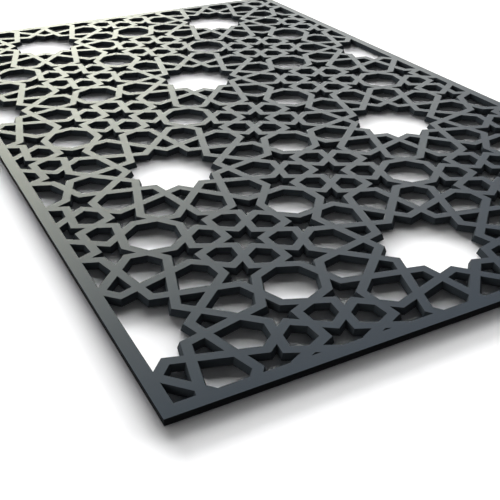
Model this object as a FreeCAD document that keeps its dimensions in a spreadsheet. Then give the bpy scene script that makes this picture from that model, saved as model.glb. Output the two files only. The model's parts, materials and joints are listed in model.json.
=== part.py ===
"""Pierced jali screen: one flat sheet cut through with a star lattice, fixed from behind.

The openings narrow towards the back. The screen lies face up. X runs across it, Y along it and Z up
through its thickness. The origin is the middle of the plane that the buffers on its back rest on.
"""

import FreeCAD
import Part
import math
import os

# Driving sizes in millimetres, angles in degrees, and shares of the star pitch

SIZES = [
    ("star_pitch", 587.0, "distance between neighbouring star centres"),
    ("side_margin", 23.0, "outer line of stars to the long edge of the sheet"),
    ("end_margin", 206.5, "end row of stars to the short edge of the sheet"),
    ("border_width", 24.0, "uncut border round the lattice"),
    ("bar_width", 17.0, "width of every lattice bar on the face"),
    ("sheet_thickness", 12.0, "thickness of the board"),
    ("wall_draft", 4.0, "how far the wall of an opening comes in from the face to the back"),
    ("octagon_half_angle", 22.5, "half angle of the star points that meet an octagon"),
    ("six_star_half_angle", 25.4, "half angle of the points of the six-pointed star"),
    ("kite_half_angle", 27.95, "half angle of the kite tips round a large star"),
    ("six_star_radius_share", 0.1084, "tip radius of the six-pointed star"),
    ("kite_radius_share", 0.302, "ring of kite tips round a large star"),
    ("insert_across_flats", 10.0, "hexagonal barrel of the threaded insert"),
    ("insert_length", 9.0, "length of the threaded insert"),
    ("insert_bore_radius", 2.5, "tapped hole of the insert"),
    ("insert_clearance", 0.05, "glue gap between insert and pocket"),
    ("buffer_side", 18.0, "side of a square buffer"),
    ("buffer_height", 2.0, "how far the buffers hold the sheet off a wall or floor"),
    ("cut_overrun", 1.0, "how far a cutting tool runs past the face it starts from"),
]

# Counts, and places along the border as shares of the way from its middle to its corners

STAR_COLUMNS = 2
STAR_ROWS = 3
INSERT_SIDES = 6
INSERT_ALONG_SHARES = (-1, 0, 1)
BUFFER_ALONG_SHARES = (-1 / 2, 1 / 2)
BUFFER_ACROSS_SHARES = (-1 / 2, 1 / 2)

# The most that an opening too small for the full draft narrows, as a share of the way to closing up

DRAFT_LIMIT_SHARE = 2 / 3

# Fixed proportions of the twelve-fold star pattern

FULL_TURN = 360
HALF_TURN = 180
QUARTER_TURN = 90
STAR_FOLD = 12
TWELFTH = FULL_TURN / STAR_FOLD
ROW_SHARE = math.sqrt(3) / 2
OCTAGON_RADIUS_SHARE = (1 - 1 / math.sqrt(3)) / 4
OCTAGON_CENTRE_SHARE = 1 / 2
SIX_STAR_CENTRE_SHARES = (1 / 2, 1 / (2 * math.sqrt(3)))

doc = FreeCAD.newDocument("jali_screen")
sheet = doc.addObject("Spreadsheet::Sheet", "Sizes")
for row, (alias, value, meaning) in enumerate(SIZES, start=1):
    sheet.set(f"A{row}", str(value))
    sheet.setAlias(f"A{row}", alias)
    sheet.set(f"B{row}", meaning)
doc.recompute()

# Overall sizes, as expressions of the driving sizes

OVERALL_WIDTH = f"({STAR_COLUMNS} * Sizes.star_pitch + 2 * Sizes.side_margin)"
OVERALL_LENGTH = f"({STAR_ROWS} * Sizes.star_pitch * sqrt(3) / 2 + 2 * Sizes.end_margin)"
BORDER_REACH_X = f"({OVERALL_WIDTH} - Sizes.border_width) / 2"
BORDER_REACH_Y = f"({OVERALL_LENGTH} - Sizes.border_width) / 2"


def size(alias):
    """Value of one driving size."""
    return float(sheet.get(alias))


# Plane geometry


def polar(radius, angle):
    """Point at a radius and an angle in degrees from the star's centre."""
    turn = math.radians(angle)
    return FreeCAD.Vector(radius * math.cos(turn), radius * math.sin(turn), 0)


def heading(start, end):
    """Angle in degrees of the line from start to end."""
    return math.degrees(math.atan2(end.y - start.y, end.x - start.x))


def meet(first, first_angle, second, second_angle):
    """Point where two lines cross, each given by a point and an angle in degrees."""
    along = polar(1, first_angle)
    across = polar(1, second_angle + QUARTER_TURN)
    reach = (second - first).dot(across) / along.dot(across)
    return first + along * reach


def turned(point, centre, angle):
    """Point turned about a centre."""
    arm = point - centre
    return centre + polar(arm.Length, heading(centre, point) + angle)


def mirrored(point, centre, angle):
    """Point mirrored in the line through a centre at an angle."""
    arm = point - centre
    return centre + polar(arm.Length, 2 * angle - heading(centre, point))


def anticlockwise(outline):
    """The outline in anticlockwise order."""
    doubled_area = 0
    for start, end in zip(outline, outline[1:] + outline[:1]):
        doubled_area += start.x * end.y - end.x * start.y
    return outline if doubled_area > 0 else outline[::-1]


def inset(outline, gap):
    """The outline moved inwards by a gap on every side, with its corners kept sharp."""
    outline = anticlockwise(outline)
    moved = []
    for index, corner in enumerate(outline):
        before = outline[index - 1]
        after = outline[(index + 1) % len(outline)]
        inward_before = polar(1, heading(before, corner) + QUARTER_TURN)
        inward_after = polar(1, heading(corner, after) + QUARTER_TURN)
        mitre = (inward_before + inward_after) * (1 / (1 + inward_before.dot(inward_after)))
        moved.append(corner + mitre * gap)
    return moved


def closed_wire(outline):
    """Closed wire of straight edges through the corners of an outline."""
    return Part.makePolygon(outline + outline[:1])


# The star lattice


def lattice_points():
    """Crossings and bends of the bar centre lines in one twelfth of a large star's surroundings."""
    pitch = size("star_pitch")
    octagon_radius = OCTAGON_RADIUS_SHARE * pitch
    octagon_tip = size("octagon_half_angle")
    six_star_tip = size("six_star_half_angle")
    kite_tip = size("kite_half_angle")
    star_centre = FreeCAD.Vector()
    octagon_centre = FreeCAD.Vector(OCTAGON_CENTRE_SHARE * pitch, 0, 0)
    six_star_centre = FreeCAD.Vector(*SIX_STAR_CENTRE_SHARES, 0) * pitch

    # The five tips of the five-pointed star, with the way each points and its half angle
    inward_arm = polar(size("six_star_radius_share") * pitch, 8 * TWELFTH)
    tips = [
        (octagon_centre - FreeCAD.Vector(octagon_radius, 0, 0), -3 * TWELFTH, octagon_tip),
        (octagon_centre + FreeCAD.Vector(0, octagon_radius, 0), 0, octagon_tip),
        (six_star_centre + inward_arm, 2 * TWELFTH, six_star_tip),
        (polar(octagon_centre.x - octagon_radius, TWELFTH), 4 * TWELFTH, octagon_tip),
        (polar(size("kite_radius_share") * pitch, TWELFTH / 2), HALF_TURN + TWELFTH / 2, kite_tip),
    ]
    bends = []
    for (tip, way, half), (next_tip, next_way, next_half) in zip(tips, tips[1:] + tips[:1]):
        bends.append(meet(tip, way + HALF_TURN - half, next_tip, next_way + HALF_TURN + next_half))
    side_tip, octagon_top, inward_tip, ring_tip, kite_outer = [tip for tip, way, half in tips]
    octagon_bend, upper_bend, lower_bend, ring_bend, side_bend = bends

    # Lines of the five-pointed star carried on into the six-pointed star and the large star
    star_point = meet(kite_outer, heading(ring_bend, kite_outer), star_centre, 0)
    crossing_way = -heading(kite_outer, star_point)
    return {
        "star_centre": star_centre,
        "octagon_centre": octagon_centre,
        "six_star_centre": six_star_centre,
        "side_tip": side_tip,
        "octagon_bend": octagon_bend,
        "octagon_top": octagon_top,
        "upper_bend": upper_bend,
        "inward_tip": inward_tip,
        "lower_bend": lower_bend,
        "ring_tip": ring_tip,
        "ring_bend": ring_bend,
        "kite_outer": kite_outer,
        "side_bend": side_bend,
        "lower_notch": meet(inward_tip, heading(upper_bend, inward_tip), six_star_centre, TWELFTH),
        "upper_notch": meet(inward_tip, heading(lower_bend, inward_tip), six_star_centre, QUARTER_TURN),
        "star_point": star_point,
        "next_star_point": meet(kite_outer, heading(side_bend, kite_outer), star_centre, TWELFTH),
        "kite_inner": meet(star_point, crossing_way, star_centre, TWELFTH / 2),
    }


def openings_round_star():
    """Centre-line outlines of the openings that belong to one large star."""
    at = lattice_points()
    centre = at["star_centre"]
    octagon_centre = at["octagon_centre"]
    six_star_centre = at["six_star_centre"]

    def joined(*names):
        """Outline through named points."""
        return [at[name] for name in names]

    def folded(half, mirror_centre, mirror_angle):
        """Half an outline, whose two end points lie on a mirror line, with its mirror image."""
        image = [mirrored(point, mirror_centre, mirror_angle) for point in half[1:-1]]
        return half + image[::-1]

    kite = joined("star_point", "kite_outer", "next_star_point", "kite_inner")
    side_petal = folded(joined("star_point", "kite_outer", "side_bend", "side_tip"), centre, 0)
    ring_petal = folded(joined("next_star_point", "kite_outer", "ring_bend", "ring_tip"), centre, TWELFTH)
    upper_hexagon = folded(joined("octagon_top", "upper_bend", "inward_tip", "upper_notch"),
                           octagon_centre, QUARTER_TURN)
    ring_hexagon = folded(joined("ring_tip", "lower_bend", "inward_tip", "lower_notch"), centre, TWELFTH)
    five_star = joined("side_tip", "octagon_bend", "octagon_top", "upper_bend", "inward_tip",
                       "lower_bend", "ring_tip", "ring_bend", "kite_outer", "side_bend")
    octagon_quarter = joined("side_tip", "octagon_bend")
    octagon = [turned(point, octagon_centre, -quarter * QUARTER_TURN)
               for quarter in range(4) for point in octagon_quarter]
    six_star_third = joined("lower_notch", "inward_tip", "upper_notch")
    six_star_third.append(mirrored(at["inward_tip"], octagon_centre, QUARTER_TURN))
    six_star = [turned(point, six_star_centre, third * FULL_TURN / 3)
                for third in range(3) for point in six_star_third]
    large_star = [turned(point, centre, step * TWELFTH)
                  for step in range(STAR_FOLD) for point in joined("star_point", "kite_inner")]

    # Each outline with the number of its copies round the star and the angle between them
    half_fold = STAR_FOLD // 2
    five_star_image = [mirrored(point, centre, 0) for point in five_star]
    families = [
        (large_star, 1, 0),
        (kite, STAR_FOLD, TWELFTH),
        (side_petal, half_fold, 2 * TWELFTH),
        (ring_petal, half_fold, 2 * TWELFTH),
        (upper_hexagon, half_fold, 2 * TWELFTH),
        (ring_hexagon, half_fold, 2 * TWELFTH),
        (five_star, half_fold, 2 * TWELFTH),
        (five_star_image, half_fold, 2 * TWELFTH),
        (octagon, 3, 2 * TWELFTH),
        (six_star, 2, 2 * TWELFTH),
    ]
    openings = []
    for outline, copies, step in families:
        for copy in range(copies):
            openings.append([turned(point, centre, copy * step) for point in outline])
    return openings


def star_centres():
    """Centres of all large stars whose openings may reach the lattice field."""
    pitch = size("star_pitch")
    first = FreeCAD.Vector(-STAR_COLUMNS / 2, -STAR_ROWS * ROW_SHARE / 2, 0) * pitch
    centres = []
    for row in range(-1, STAR_ROWS + 2):
        for column in range(-1, STAR_COLUMNS + 2):
            shift = FreeCAD.Vector(column + (row % 2) / 2, row * ROW_SHARE, 0) * pitch
            centres.append(first + shift)
    return centres


def trimmed(opening, field):
    """What is left of an opening inside the lattice field: itself, its trimmed pieces or nothing."""
    box = FreeCAD.BoundBox(*map(min, zip(*opening)), *map(max, zip(*opening)))
    if field.BoundBox.isInside(box):
        return [opening]
    if not field.BoundBox.intersect(box):
        return []
    pieces = Part.Face(closed_wire(opening)).common(field).Faces
    return [[vertex.Point for vertex in piece.OuterWire.OrderedVertexes] for piece in pieces]


def lattice_openings(field):
    """Outlines, on the face of the sheet, of all openings in the lattice field."""
    openings = []
    for opening in openings_round_star():
        narrowed = inset(opening, size("bar_width") / 2)
        for centre in star_centres():
            openings.extend(trimmed([point + centre for point in narrowed], field))
    return [anticlockwise(opening) for opening in openings]


def drafted(opening):
    """Outline, on the back of the sheet, of an opening given by its outline on the face."""
    closing = []
    unit_inset = inset(opening, 1)
    for index, corner in enumerate(opening):
        side = (corner - opening[index - 1]).Length
        loss = side - (unit_inset[index] - unit_inset[index - 1]).Length
        if loss > 0:
            closing.append(side / loss)
    return inset(opening, min(size("wall_draft"), DRAFT_LIMIT_SHARE * min(closing)))


def pierced_board():
    """Solid of the sheet: face, back, outer edges and the sloping walls of every opening."""
    half_width = STAR_COLUMNS * size("star_pitch") / 2 + size("side_margin")
    half_length = STAR_ROWS * ROW_SHARE * size("star_pitch") / 2 + size("end_margin")
    field_x = half_width - size("border_width")
    field_y = half_length - size("border_width")
    field = Part.makePlane(2 * field_x, 2 * field_y, FreeCAD.Vector(-field_x, -field_y, 0))
    openings = lattice_openings(field)
    signs = ((-1, -1), (1, -1), (1, 1), (-1, 1))
    blank = [FreeCAD.Vector(x * half_width, y * half_length, 0) for x, y in signs]
    back = [blank] + [drafted(opening) for opening in openings]
    rise = FreeCAD.Vector(0, 0, size("sheet_thickness"))
    front = [[point + rise for point in outline] for outline in [blank] + openings]
    faces = []
    for outlines in (front, back):
        holes = [closed_wire(hole[::-1]) for hole in outlines[1:]]
        faces.append(Part.Face([closed_wire(outlines[0])] + holes))
    for upper, lower in zip(front, back):
        for index in range(len(upper)):
            side = [upper[index - 1], upper[index], lower[index], lower[index - 1]]
            faces.append(Part.Face(closed_wire(side)))
    shell = Part.makeShell(faces)
    shell.sewShape()
    board = Part.makeSolid(shell)
    if board.Volume < 0:
        board.reverse()
    return board


# Small helpers for bound document objects


def bind(item, **expressions):
    """Tie properties of an object to expressions of the driving sizes."""
    for name, expression in expressions.items():
        item.setExpression(name.replace("_", "."), expression)
    return item


def placed(kind, name, x, y, z, **expressions):
    """A primitive at a place, with its place and its sizes bound."""
    item = doc.addObject(kind, name)
    bind(item, Placement_Base_x=x, Placement_Base_y=y, Placement_Base_z=z)
    return bind(item, **expressions)


def combine(kind, name, base, tool):
    """A fuse or cut of two objects."""
    item = doc.addObject(kind, name)
    item.Base = base
    item.Tool = tool
    return item


def border_places(along_shares, across_shares=()):
    """Places on the centre line of the border, on its long and its short sides, as expressions of x and y."""
    places = []
    for side in (-1, 1):
        for share in along_shares:
            places.append((f"{side} * {BORDER_REACH_X}", f"{share} * {BORDER_REACH_Y}"))
        for share in across_shares:
            places.append((f"{share} * {BORDER_REACH_X}", f"{side} * {BORDER_REACH_Y}"))
    return places


# Threaded inserts, set flush in blind pockets in the back of the border

BACK_FACE = "Sizes.buffer_height"
BELOW_BACK = f"{BACK_FACE} - Sizes.cut_overrun"
pockets = []
inserts = []
for number, (x, y) in enumerate(border_places(INSERT_ALONG_SHARES), start=1):
    pocket = placed(
        "Part::Prism", f"insert_pocket_{number}", x, y, BELOW_BACK,
        Circumradius="(Sizes.insert_across_flats + 2 * Sizes.insert_clearance) / sqrt(3)",
        Height="Sizes.insert_length + Sizes.insert_clearance + Sizes.cut_overrun",
    )
    barrel = placed(
        "Part::Prism", f"insert_barrel_{number}", x, y, BACK_FACE,
        Circumradius="Sizes.insert_across_flats / sqrt(3)",
        Height="Sizes.insert_length",
    )
    bore = placed(
        "Part::Cylinder", f"insert_bore_{number}", x, y, BELOW_BACK,
        Radius="Sizes.insert_bore_radius",
        Height="Sizes.insert_length + 2 * Sizes.cut_overrun",
    )
    pocket.Polygon = INSERT_SIDES
    barrel.Polygon = INSERT_SIDES
    pockets.append(pocket)
    inserts.append(combine("Part::Cut", f"insert_{number}", barrel, bore))

threaded_inserts = doc.addObject("Part::Compound", "threaded_inserts")
threaded_inserts.Links = inserts

# Rubber buffers, glued to the back of the border between the inserts

buffers = []
for number, (x, y) in enumerate(border_places(BUFFER_ALONG_SHARES, BUFFER_ACROSS_SHARES), start=1):
    buffers.append(placed(
        "Part::Box", f"buffer_{number}", f"{x} - Sizes.buffer_side / 2", f"{y} - Sizes.buffer_side / 2", "0",
        Length="Sizes.buffer_side",
        Width="Sizes.buffer_side",
        Height="Sizes.buffer_height",
    ))

rubber_buffers = doc.addObject("Part::Compound", "rubber_buffers")
rubber_buffers.Links = buffers

# The sheet: the pierced board, bored for the inserts

board = doc.addObject("Part::Feature", "pierced_board")
board.Shape = pierced_board()
bind(board, Placement_Base_z=BACK_FACE)

pocket_set = doc.addObject("Part::Compound", "insert_pockets")
pocket_set.Links = pockets
jali_sheet = combine("Part::Cut", "jali_sheet", board, pocket_set)

doc.recompute()

# Checks, then one file for each sub-part

sub_parts = [jali_sheet, threaded_inserts, rubber_buffers]
for item in doc.Objects:
    if "Invalid" in item.State or "Error" in item.State:
        raise RuntimeError(f"{item.Label} did not build")
for item in sub_parts:
    if item.Shape.isNull() or not item.Shape.isValid():
        raise RuntimeError(f"{item.Label} has no valid shape")

os.makedirs("parts", exist_ok=True)
for item in sub_parts:
    item.Shape.exportStep(f"parts/{item.Label}.step")
    print(item.Label, len(item.Shape.Solids), "solids", round(item.Shape.Volume), "cubic millimetres")
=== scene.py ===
"""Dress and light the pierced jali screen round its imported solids.

The screen lies face up on a pale floor. X runs across it, Y along it and Z up through its thickness.
All lengths are in metres.
"""

import json
import logging
import math
from dataclasses import dataclass, field
from enum import Enum
from typing import Any, Iterator

import bmesh
import bpy
from mathutils import Matrix, Vector


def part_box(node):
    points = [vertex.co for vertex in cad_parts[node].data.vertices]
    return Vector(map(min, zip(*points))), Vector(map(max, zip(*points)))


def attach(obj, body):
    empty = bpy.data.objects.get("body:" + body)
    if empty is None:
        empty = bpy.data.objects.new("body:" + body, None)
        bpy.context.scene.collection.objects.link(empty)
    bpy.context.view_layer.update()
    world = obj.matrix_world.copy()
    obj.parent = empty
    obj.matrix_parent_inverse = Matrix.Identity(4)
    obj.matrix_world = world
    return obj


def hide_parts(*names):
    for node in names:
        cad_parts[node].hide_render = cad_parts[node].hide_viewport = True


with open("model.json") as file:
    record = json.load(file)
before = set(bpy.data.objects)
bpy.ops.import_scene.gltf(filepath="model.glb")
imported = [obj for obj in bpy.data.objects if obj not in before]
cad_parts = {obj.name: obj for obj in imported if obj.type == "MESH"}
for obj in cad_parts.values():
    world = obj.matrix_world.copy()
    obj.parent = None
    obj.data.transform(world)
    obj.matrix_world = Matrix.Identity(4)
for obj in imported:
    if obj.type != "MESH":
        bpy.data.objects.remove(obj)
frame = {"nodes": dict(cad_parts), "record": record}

LOG = logging.getLogger("jali_screen")
MM = 0.001
SAME_POINT = 0.001 * MM
NEAR = 0.01 * MM
SHARP_EDGE = math.radians(30)
BODY = "root"
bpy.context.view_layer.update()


class Node(str, Enum):
    """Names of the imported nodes."""

    SHEET = "jali_sheet"
    INSERTS = "threaded_inserts"
    BUFFERS = "rubber_buffers"


class Slot(str, Enum):
    """Material slots of the record."""

    BOARD = "lacquered_board"
    BRASS = "brass"
    RUBBER = "buffer_rubber"


class Side(Enum):
    """Which finish a facet of the sheet carries, by its place among the sheet's materials."""

    FACE = 0
    WALL = 1
    EDGE = 2


# Helpers for shaders


def linear(hex_colour: str) -> tuple[float, float, float, float]:
    """Turn an sRGB hex colour into linear light.

    Args:
        hex_colour: six hex digits after a hash sign.

    Returns:
        Red, green, blue and an alpha of one.
    """
    channels = []
    for start in (1, 3, 5):
        value = int(hex_colour[start:start + 2], 16) / 255
        channels.append(value / 12.92 if value <= 0.04045 else ((value + 0.055) / 1.055) ** 2.4)
    return channels[0], channels[1], channels[2], 1.0


def add_node(tree: bpy.types.NodeTree, kind: str, inputs: dict[Any, Any] | None = None,
             **settings: Any) -> bpy.types.Node:
    """Add a node with its settings, its socket values and its links.

    Args:
        tree: tree that gets the node.
        kind: the node's type.
        inputs: socket name or number to a value, or to the socket that feeds it.
        settings: properties of the node.

    Returns:
        The new node.
    """
    node = tree.nodes.new(kind)
    for name, value in settings.items():
        setattr(node, name, value)
    for name, value in (inputs or {}).items():
        if isinstance(value, bpy.types.NodeSocket):
            tree.links.new(value, node.inputs[name])
        else:
            node.inputs[name].default_value = value
    return node


def empty_material(name: str) -> tuple[bpy.types.Material, bpy.types.NodeTree]:
    """Make a material with no nodes.

    Args:
        name: name of the material.

    Returns:
        The material and its node tree.
    """
    material = bpy.data.materials.new(name)
    material.use_nodes = True
    material.node_tree.nodes.clear()
    return material, material.node_tree


def background_share(tree: bpy.types.NodeTree) -> bpy.types.NodeSocket:
    """Tell the rays that show the background from those that carry light.

    Args:
        tree: the node tree to add to.

    Returns:
        A value that is 1 for the eye, for gloss and through glass, and 0 for other rays.
    """
    path = add_node(tree, "ShaderNodeLightPath")
    seen = add_node(tree, "ShaderNodeMath", {
        0: path.outputs["Is Camera Ray"], 1: path.outputs["Is Glossy Ray"],
    }, operation="MAXIMUM")
    shown = add_node(tree, "ShaderNodeMath", {
        0: seen.outputs["Value"], 1: path.outputs["Is Transmission Ray"],
    }, operation="MAXIMUM")
    return shown.outputs["Value"]


def per_metre(size_mm: float) -> float:
    """Scale of a pattern whose cells measure a number of millimetres."""
    return 1 / (size_mm * MM)


# Finishes


@dataclass(frozen=True)
class SlateLacquer:
    """Sprayed satin lacquer on fibreboard.

    A matting agent keeps its mirror weak, so a low lamp shows only as a wide sheen. Spraying leaves
    a fine orange peel, and the pigment drifts a little from place to place.
    """

    name: str = "satin_slate_lacquer"
    colour: str = "#121e2b"
    drift_colour: str = "#172431"
    roughness: float = 0.4
    roughness_drift: float = 0.04
    specular_level: float = 0.2
    drift_mm: float = 140.0
    peel_mm: float = 2.6
    peel_height_mm: float = 0.012

    def material(self) -> bpy.types.Material:
        """Build the lacquer's shader."""
        material, tree = empty_material(self.name)
        place = add_node(tree, "ShaderNodeTexCoord").outputs["Object"]
        drift = add_node(tree, "ShaderNodeTexNoise", {
            "Vector": place, "Scale": per_metre(self.drift_mm), "Detail": 4.0, "Roughness": 0.6,
        }).outputs["Fac"]
        colour = add_node(tree, "ShaderNodeMix", {
            "Factor": drift, "A": linear(self.colour), "B": linear(self.drift_colour),
        }, data_type="RGBA")
        roughness = add_node(tree, "ShaderNodeMapRange", {
            "Value": drift,
            "To Min": self.roughness - self.roughness_drift,
            "To Max": self.roughness + self.roughness_drift,
        })
        peel = add_node(tree, "ShaderNodeTexNoise", {
            "Vector": place, "Scale": per_metre(self.peel_mm), "Detail": 1.0,
        })
        bump = add_node(tree, "ShaderNodeBump", {
            "Height": peel.outputs["Fac"], "Distance": self.peel_height_mm * MM,
        })
        shader = add_node(tree, "ShaderNodeBsdfPrincipled", {
            "Base Color": colour.outputs["Result"],
            "Roughness": roughness.outputs["Result"],
            "Specular IOR Level": self.specular_level,
            "Normal": bump.outputs["Normal"],
        })
        add_node(tree, "ShaderNodeOutputMaterial", {"Surface": shader.outputs["BSDF"]})
        return material


@dataclass(frozen=True)
class CutWall:
    """Fibreboard cut by a laser, under a mist of lacquer.

    The beam leaves a dark wall with upright lines, one for each pulse. The spray that reaches into
    the openings greys it.
    """

    name: str = "laser_cut_fibreboard"
    cut_colour: str = "#1c2126"
    mist_colour: str = "#272b2f"
    roughness: float = 0.85
    specular_level: float = 0.08
    line_mm: float = 1.4
    line_stretch: float = 0.06
    line_height_mm: float = 0.08

    def material(self) -> bpy.types.Material:
        """Build the wall's shader, with lines that stand upright on a wall of any direction."""
        material, tree = empty_material(self.name)
        texture = add_node(tree, "ShaderNodeTexCoord")
        place = texture.outputs["Object"]
        along_wall = add_node(tree, "ShaderNodeVectorMath", {
            0: texture.outputs["Normal"], 1: (0.0, 0.0, 1.0),
        }, operation="CROSS_PRODUCT")
        along = add_node(tree, "ShaderNodeVectorMath", {
            0: along_wall.outputs["Vector"], 1: place,
        }, operation="DOT_PRODUCT")
        height = add_node(tree, "ShaderNodeSeparateXYZ", {"Vector": place})
        slow_height = add_node(tree, "ShaderNodeMath", {
            0: height.outputs["Z"], 1: self.line_stretch,
        }, operation="MULTIPLY")
        wall_place = add_node(tree, "ShaderNodeCombineXYZ", {
            "X": along.outputs["Value"], "Y": slow_height.outputs["Value"],
        })
        lines = add_node(tree, "ShaderNodeTexNoise", {
            "Vector": wall_place.outputs["Vector"], "Scale": per_metre(self.line_mm), "Detail": 3.0,
        }).outputs["Fac"]
        colour = add_node(tree, "ShaderNodeMix", {
            "Factor": lines, "A": linear(self.cut_colour), "B": linear(self.mist_colour),
        }, data_type="RGBA")
        bump = add_node(tree, "ShaderNodeBump", {
            "Height": lines, "Distance": self.line_height_mm * MM,
        })
        shader = add_node(tree, "ShaderNodeBsdfPrincipled", {
            "Base Color": colour.outputs["Result"],
            "Roughness": self.roughness,
            "Specular IOR Level": self.specular_level,
            "Normal": bump.outputs["Normal"],
        })
        add_node(tree, "ShaderNodeOutputMaterial", {"Surface": shader.outputs["BSDF"]})
        return material


@dataclass(frozen=True)
class SealedEdge:
    """Sawn edge of fibreboard, sealed with black paint.

    The paint is rolled on thin and dries matt, so the fibres show as a fine grain.
    """

    name: str = "black_edge_paint"
    colour: str = "#08090b"
    grain_colour: str = "#0c0d0f"
    roughness: float = 0.8
    specular_level: float = 0.05
    grain_mm: float = 1.1
    grain_height_mm: float = 0.03

    def material(self) -> bpy.types.Material:
        """Build the edge paint's shader."""
        material, tree = empty_material(self.name)
        place = add_node(tree, "ShaderNodeTexCoord").outputs["Object"]
        grain = add_node(tree, "ShaderNodeTexNoise", {
            "Vector": place, "Scale": per_metre(self.grain_mm), "Detail": 3.0,
        }).outputs["Fac"]
        colour = add_node(tree, "ShaderNodeMix", {
            "Factor": grain, "A": linear(self.colour), "B": linear(self.grain_colour),
        }, data_type="RGBA")
        bump = add_node(tree, "ShaderNodeBump", {
            "Height": grain, "Distance": self.grain_height_mm * MM,
        })
        shader = add_node(tree, "ShaderNodeBsdfPrincipled", {
            "Base Color": colour.outputs["Result"],
            "Roughness": self.roughness,
            "Specular IOR Level": self.specular_level,
            "Normal": bump.outputs["Normal"],
        })
        add_node(tree, "ShaderNodeOutputMaterial", {"Surface": shader.outputs["BSDF"]})
        return material


@dataclass(frozen=True)
class TurnedBrass:
    """Free-cutting brass, turned and left bare.

    It shows a bright yellow metal with brown tarnish in patches.
    """

    name: str = "turned_brass"
    colour: str = "#c9a75c"
    tarnish_colour: str = "#8f6f36"
    roughness: float = 0.3
    tarnish_roughness: float = 0.48
    tarnish_mm: float = 3.0

    def material(self) -> bpy.types.Material:
        """Build the brass shader."""
        material, tree = empty_material(self.name)
        place = add_node(tree, "ShaderNodeTexCoord").outputs["Object"]
        tarnish = add_node(tree, "ShaderNodeTexNoise", {
            "Vector": place, "Scale": per_metre(self.tarnish_mm), "Detail": 5.0,
        }).outputs["Fac"]
        colour = add_node(tree, "ShaderNodeMix", {
            "Factor": tarnish, "A": linear(self.colour), "B": linear(self.tarnish_colour),
        }, data_type="RGBA")
        roughness = add_node(tree, "ShaderNodeMapRange", {
            "Value": tarnish, "To Min": self.roughness, "To Max": self.tarnish_roughness,
        })
        shader = add_node(tree, "ShaderNodeBsdfPrincipled", {
            "Base Color": colour.outputs["Result"],
            "Metallic": 1.0,
            "Roughness": roughness.outputs["Result"],
        })
        add_node(tree, "ShaderNodeOutputMaterial", {"Surface": shader.outputs["BSDF"]})
        return material


@dataclass(frozen=True)
class PadRubber:
    """Die-cut black rubber sheet.

    It is matt, with a fine pebble from the calender rolls and a grey bloom.
    """

    name: str = "black_sheet_rubber"
    colour: str = "#17171a"
    bloom_colour: str = "#242427"
    roughness: float = 0.82
    pebble_mm: float = 0.7
    pebble_height_mm: float = 0.04
    bloom_mm: float = 9.0

    def material(self) -> bpy.types.Material:
        """Build the rubber shader."""
        material, tree = empty_material(self.name)
        place = add_node(tree, "ShaderNodeTexCoord").outputs["Object"]
        bloom = add_node(tree, "ShaderNodeTexNoise", {
            "Vector": place, "Scale": per_metre(self.bloom_mm), "Detail": 4.0,
        })
        colour = add_node(tree, "ShaderNodeMix", {
            "Factor": bloom.outputs["Fac"], "A": linear(self.colour), "B": linear(self.bloom_colour),
        }, data_type="RGBA")
        pebble = add_node(tree, "ShaderNodeTexVoronoi", {
            "Vector": place, "Scale": per_metre(self.pebble_mm),
        })
        bump = add_node(tree, "ShaderNodeBump", {
            "Height": pebble.outputs["Distance"], "Distance": self.pebble_height_mm * MM,
        })
        shader = add_node(tree, "ShaderNodeBsdfPrincipled", {
            "Base Color": colour.outputs["Result"],
            "Roughness": self.roughness,
            "Normal": bump.outputs["Normal"],
        })
        add_node(tree, "ShaderNodeOutputMaterial", {"Surface": shader.outputs["BSDF"]})
        return material


# Sub-assemblies


def wear(piece: bpy.types.Object, *materials: bpy.types.Material) -> None:
    """Give a piece its materials in place of those it has.

    Args:
        piece: the piece to dress.
        materials: its new materials, in slot order.
    """
    piece.data.materials.clear()
    for material in materials:
        piece.data.materials.append(material)


def soften(piece: bpy.types.Object, width: float, segments: int) -> None:
    """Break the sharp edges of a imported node.

    Args:
        piece: the node's object, whose loose triangles are joined first.
        width: width of the broken edge.
        segments: facets across it.
    """
    piece.modifiers.new("join", "WELD").merge_threshold = SAME_POINT
    arris = piece.modifiers.new("arris", "BEVEL")
    arris.width = width
    arris.segments = segments
    arris.limit_method = "ANGLE"
    arris.angle_limit = SHARP_EDGE


@dataclass
class PiercedSheet:
    """The board with its lattice: lacquered faces, cut walls, sealed edges and a finely broken arris.

    A facet's slope is the upward part of its normal. The walls of the openings lean and the edges stand.
    """

    arris_width: float = 0.3 * MM
    arris_segments: int = 1
    face_slope: float = 0.9
    wall_slope: float = 0.05
    lacquer: SlateLacquer = field(default_factory=SlateLacquer)
    cut: CutWall = field(default_factory=CutWall)
    edge: SealedEdge = field(default_factory=SealedEdge)

    def side(self, slope: float) -> Side:
        """Tell a facet's side from its slope."""
        if slope > self.face_slope:
            return Side.FACE
        return Side.WALL if slope > self.wall_slope else Side.EDGE

    def dress(self) -> bpy.types.Object:
        """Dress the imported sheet.

        Returns:
            The sheet's object.
        """
        sheet = frame["nodes"][Node.SHEET]
        wear(sheet, self.lacquer.material(), self.cut.material(), self.edge.material())
        for facet in sheet.data.polygons:
            facet.material_index = self.side(abs(facet.normal.z)).value
        soften(sheet, self.arris_width, self.arris_segments)
        return sheet


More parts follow.
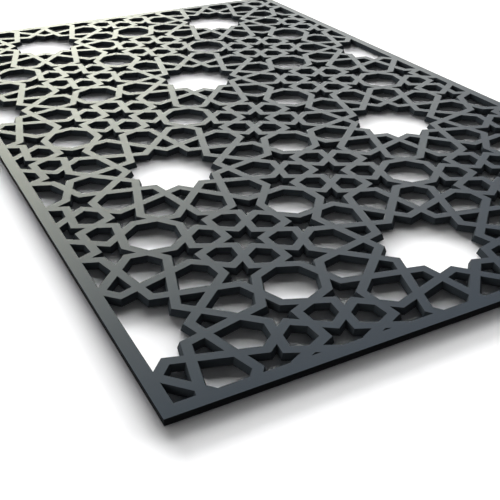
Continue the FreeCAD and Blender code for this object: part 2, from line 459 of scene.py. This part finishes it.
@dataclass
class ThreadedInserts:
    """Hexagonal brass inserts with a cut thread, flush with the back of the sheet.

    The thread starts outside the barrel and runs on past its far end, and both ends are then cut off.
    """

    thread_pitch: float = 1.0 * MM
    thread_depth: float = 0.5 * MM
    bore_radius: float = 2.5 * MM
    across_flats: float = 10.0 * MM
    chamfer: float = 0.4 * MM
    run_in_turns: float = 1.5
    spare_turns: int = 2
    spin_steps: int = 32
    sides: int = 6
    brass: TurnedBrass = field(default_factory=TurnedBrass)

    def places(self) -> Iterator[Vector]:
        """Give the centre of each insert's mouth, from the screen's bolt patterns."""
        for mount in frame["record"]["mounts"]:
            if mount["kind"] != "bolt_pattern":
                continue
            half_x = mount["dims"]["spacing_x_mm"] * MM / 2
            half_y = mount["dims"].get("spacing_y_mm", 0) * MM / 2
            for x in (-half_x, half_x):
                for y in sorted({-half_y, half_y}):
                    yield Vector(mount["pos_m"]) + Vector((x, y, 0))

    def barrel(self, length: float) -> bpy.types.Mesh:
        """Model one insert, with its mouth at the origin.

        Args:
            length: length of the barrel along Z.

        Returns:
            A closed mesh.
        """
        shape = bmesh.new()
        turns = math.ceil(length / self.thread_pitch) + self.spare_turns
        crest = self.bore_radius
        root = self.bore_radius + self.thread_depth
        profile = []
        for half_turn in range(2 * turns + 1):
            radius = root if half_turn % 2 else crest
            z = (half_turn / 2 - self.run_in_turns) * self.thread_pitch
            profile.append(shape.verts.new((radius, 0, z)))
        edges = [shape.edges.new(pair) for pair in zip(profile, profile[1:])]
        bmesh.ops.spin(
            shape, geom=profile + edges, cent=(0, 0, 0), axis=(0, 0, 1), angle=2 * math.pi,
            dvec=(0, 0, self.thread_pitch / self.spin_steps), steps=self.spin_steps, use_merge=False,
        )
        bmesh.ops.remove_doubles(shape, verts=shape.verts, dist=SAME_POINT)
        for z, away in ((0, -1), (length, 1)):
            bmesh.ops.bisect_plane(
                shape, geom=shape.verts[:] + shape.edges[:] + shape.faces[:], plane_co=(0, 0, z),
                plane_no=(0, 0, away), clear_outer=True,
            )
        corner_radius = self.across_flats / math.sqrt(3)
        corner_along_x = Matrix.Rotation(math.pi / 2, 4, "Z")
        for z in (0, length):
            bore_rim = [edge for edge in shape.edges if edge.is_boundary
                        and all(abs(vert.co.z - z) < SAME_POINT for vert in edge.verts)]
            ring = bmesh.ops.create_circle(
                shape, segments=self.sides, radius=corner_radius,
                matrix=Matrix.Translation((0, 0, z)) @ corner_along_x,
            )["verts"]
            hexagon = list({edge for vert in ring for edge in vert.link_edges})
            bmesh.ops.bridge_loops(shape, edges=bore_rim + hexagon)
        hexagons = [edge for edge in shape.edges if edge.is_boundary]
        bmesh.ops.bridge_loops(shape, edges=hexagons)
        bmesh.ops.recalc_face_normals(shape, faces=shape.faces)
        rims = [edge for edge in shape.edges if self.on_outer_rim(edge, corner_radius)]
        bmesh.ops.bevel(
            shape, geom=rims, offset=self.chamfer, offset_type="OFFSET", affect="EDGES", segments=1,
            profile=0.5, material=-1, clamp_overlap=True,
        )
        mesh = bpy.data.meshes.new("insert_barrel")
        shape.to_mesh(mesh)
        shape.free()
        return mesh

    def on_outer_rim(self, edge: bmesh.types.BMEdge, corner_radius: float) -> bool:
        """Say whether an edge joins two corners of the hexagon at one end."""
        first, second = (vert.co for vert in edge.verts)
        outside = all(co.xy.length > corner_radius - NEAR for co in (first, second))
        return outside and abs(first.z - second.z) < NEAR

    def build(self) -> bpy.types.Object:
        """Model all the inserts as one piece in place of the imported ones.

        Returns:
            The piece.
        """
        low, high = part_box(Node.INSERTS)
        barrel = self.barrel(high.z - low.z)
        together = bmesh.new()
        for place in self.places():
            first = len(together.verts)
            together.from_mesh(barrel)
            together.verts.ensure_lookup_table()
            bmesh.ops.translate(together, verts=together.verts[first:], vec=place)
        mesh = bpy.data.meshes.new("insert_barrels")
        together.to_mesh(mesh)
        together.free()
        bpy.data.meshes.remove(barrel)
        inserts = bpy.data.objects.new("insert_barrels", mesh)
        bpy.context.scene.collection.objects.link(inserts)
        wear(inserts, self.brass.material())
        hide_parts(Node.INSERTS)
        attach(inserts, BODY)
        return inserts


@dataclass
class RubberBuffers:
    """Square pads on the back of the border, with edges rounded by the die."""

    edge_radius: float = 0.6 * MM
    edge_segments: int = 3
    rubber: PadRubber = field(default_factory=PadRubber)

    def dress(self) -> bpy.types.Object:
        """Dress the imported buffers.

        Returns:
            The buffers' object.
        """
        buffers = frame["nodes"][Node.BUFFERS]
        wear(buffers, self.rubber.material())
        soften(buffers, self.edge_radius, self.edge_segments)
        return buffers


# Studio


class Reach(Enum):
    """What a softbox acts on."""

    LIGHT = "lights all surfaces"
    FLOOR = "lights the floor alone"
    SCREEN = "lights all but the floor"
    SHEEN = "shows in gloss"


@dataclass(frozen=True)
class Softbox:
    """A distant soft lamp, given by where it stands and how much of the view it fills.

    Azimuth turns from +Y towards +X, and all angles are in degrees. Brightness is against white.
    """

    name: str
    azimuth: float
    elevation: float
    wide: float
    high: float
    brightness: float
    reach: Reach
    colour: str = "#fffcf6"
    distance: float = 24.0

    def build(self) -> bpy.types.Object:
        """Hang the lamp, facing the screen.

        Returns:
            The lamp's object.
        """
        lamp = bpy.data.lights.new(self.name, "AREA")
        lamp.shape = "RECTANGLE"
        lamp.size = 2 * self.distance * math.tan(math.radians(self.wide / 2))
        lamp.size_y = 2 * self.distance * math.tan(math.radians(self.high / 2))
        lamp.energy = self.brightness * math.pi * lamp.size * lamp.size_y
        lamp.color = linear(self.colour)[:3]
        turn = math.radians(self.azimuth)
        rise = math.radians(self.elevation)
        flat = math.cos(rise)
        towards = Vector((math.sin(turn) * flat, math.cos(turn) * flat, math.sin(rise)))
        softbox = bpy.data.objects.new(self.name, lamp)
        softbox.location = towards * self.distance
        softbox.rotation_euler = (-towards).to_track_quat("-Z", "Y").to_euler()
        softbox.visible_camera = False
        softbox.visible_glossy = self.reach is Reach.SHEEN
        softbox.visible_diffuse = self.reach is not Reach.SHEEN
        bpy.context.scene.collection.objects.link(softbox)
        return softbox


# The low right lamp is kept to the floor, so that walls facing right stay dark. The two wall lamps leave
# the floor out, so that they grey the walls facing front and left and the shadows stay deep.
SOFTBOXES = (
    Softbox("low_back_softbox", 14.0, 9.0, 40.0, 11.0, 125.0, Reach.LIGHT),
    Softbox("low_right_softbox", 72.0, 11.0, 56.0, 12.0, 36.0, Reach.FLOOR),
    Softbox("middle_back_softbox", 28.0, 22.0, 50.0, 16.0, 8.4, Reach.LIGHT),
    Softbox("left_softbox", -55.0, 13.0, 60.0, 14.0, 3.7, Reach.LIGHT),
    Softbox("front_softbox", 170.0, 25.0, 90.0, 24.0, 0.2, Reach.LIGHT),
    Softbox("high_softbox", 40.0, 42.0, 100.0, 34.0, 0.1, Reach.LIGHT),
    Softbox("left_wall_softbox", -78.0, 15.0, 60.0, 20.0, 5.5, Reach.SCREEN),
    Softbox("front_wall_softbox", 195.0, 20.0, 80.0, 24.0, 0.8, Reach.SCREEN),
    Softbox("left_sheen_softbox", 4.5, 15.5, 33.0, 8.5, 17.2, Reach.SHEEN, "#fafade"),
    Softbox("right_sheen_softbox", 27.0, 20.0, 34.0, 12.0, 5.6, Reach.SHEEN, "#f9faf0"),
)


@dataclass
class Studio:
    """Pale floor, soft lamps round the screen, a weak fill, and the camera."""

    floor_colour: str = "#f4f7fe"
    floor_half: float = 40.0
    fade_from: float = 1.6
    fade_to: float = 3.2
    background_colour: str = "#ffffff"
    fill_strength: float = 0.006
    softboxes: tuple[Softbox, ...] = SOFTBOXES
    camera_place: tuple[float, float, float] = (-0.8743, -1.7146, 0.7504)
    camera_aim: tuple[float, float, float] = (-0.3065, -0.6384, 0.0140)
    camera_lens_mm: float = 57.17
    camera_sensor_mm: float = 36.0

    def build_floor(self) -> bpy.types.Object:
        """Lay the floor at the foot of the buffers. Away from the screen it fades into the background.

        Returns:
            The floor's object.
        """
        material, tree = empty_material("matt_white_floor")
        paint = add_node(tree, "ShaderNodeBsdfDiffuse", {"Color": linear(self.floor_colour)})
        place = add_node(tree, "ShaderNodeTexCoord")
        reach = add_node(tree, "ShaderNodeVectorMath", {0: place.outputs["Object"]}, operation="LENGTH")
        fade = add_node(tree, "ShaderNodeMapRange", {
            "Value": reach.outputs["Value"], "From Min": self.fade_from, "From Max": self.fade_to,
        }, interpolation_type="SMOOTHSTEP")
        share = add_node(tree, "ShaderNodeMath", {
            0: fade.outputs["Result"], 1: background_share(tree),
        }, operation="MULTIPLY")
        backdrop = add_node(tree, "ShaderNodeEmission", {"Color": linear(self.background_colour)})
        blend = add_node(tree, "ShaderNodeMixShader", {
            0: share.outputs["Value"], 1: paint.outputs["BSDF"], 2: backdrop.outputs["Emission"],
        })
        add_node(tree, "ShaderNodeOutputMaterial", {"Surface": blend.outputs["Shader"]})
        shape = bmesh.new()
        bmesh.ops.create_grid(shape, x_segments=1, y_segments=1, size=self.floor_half)
        mesh = bpy.data.meshes.new("floor")
        shape.to_mesh(mesh)
        shape.free()
        floor = bpy.data.objects.new("floor", mesh)
        bpy.context.scene.collection.objects.link(floor)
        wear(floor, material)
        return floor

    def build_world(self) -> None:
        """Set a weak fill, with a white background for the eye, for gloss and through glass."""
        world = bpy.data.worlds.new("studio")
        bpy.context.scene.world = world
        world.use_nodes = True
        tree = world.node_tree
        tree.nodes.clear()
        strength = add_node(tree, "ShaderNodeMapRange", {
            "Value": background_share(tree), "To Min": self.fill_strength, "To Max": 1.0,
        })
        background = add_node(tree, "ShaderNodeBackground", {
            "Color": linear(self.background_colour), "Strength": strength.outputs["Result"],
        })
        add_node(tree, "ShaderNodeOutputWorld", {"Surface": background.outputs["Background"]})

    def build_camera(self) -> bpy.types.Object:
        """Set the camera at the viewing angle.

        Returns:
            The camera's object.
        """
        lens = bpy.data.cameras.new("camera")
        lens.lens = self.camera_lens_mm
        lens.sensor_width = self.camera_sensor_mm
        camera = bpy.data.objects.new("camera", lens)
        camera.location = self.camera_place
        sight = Vector(self.camera_aim) - Vector(self.camera_place)
        camera.rotation_euler = sight.to_track_quat("-Z", "Y").to_euler()
        bpy.context.scene.collection.objects.link(camera)
        bpy.context.scene.camera = camera
        return camera

    def link_light(self, name: str, floor: bpy.types.Object, state: str) -> bpy.types.Collection:
        """Make the collection that keeps a lamp on the floor, or off it.

        Args:
            name: name of the collection.
            floor: the floor's object.
            state: INCLUDE to light the floor alone, EXCLUDE to light all but the floor.

        Returns:
            The collection, for a lamp's light linking.
        """
        collection = bpy.data.collections.new(name)
        collection.objects.link(floor)
        collection.collection_objects[0].light_linking.link_state = state
        return collection

    def build(self) -> None:
        """Build the floor, the light and the camera."""
        floor = self.build_floor()
        linked = {
            Reach.FLOOR: self.link_light("floor_alone", floor, "INCLUDE"),
            Reach.SCREEN: self.link_light("floor_left_out", floor, "EXCLUDE"),
        }
        self.build_world()
        for softbox in self.softboxes:
            lamp = softbox.build()
            if softbox.reach in linked:
                lamp.light_linking.receiver_collection = linked[softbox.reach]
        self.build_camera()
        bpy.context.scene.view_settings.view_transform = "Standard"


def main() -> None:
    """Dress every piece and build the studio."""
    logging.basicConfig(level=logging.INFO, format="%(name)s: %(message)s")
    for piece in (PiercedSheet().dress(), ThreadedInserts().build(), RubberBuffers().dress()):
        LOG.info("%s dressed, %d facets before its modifiers", piece.name, len(piece.data.polygons))
    Studio().build()


if __name__ == "__main__":
    main()
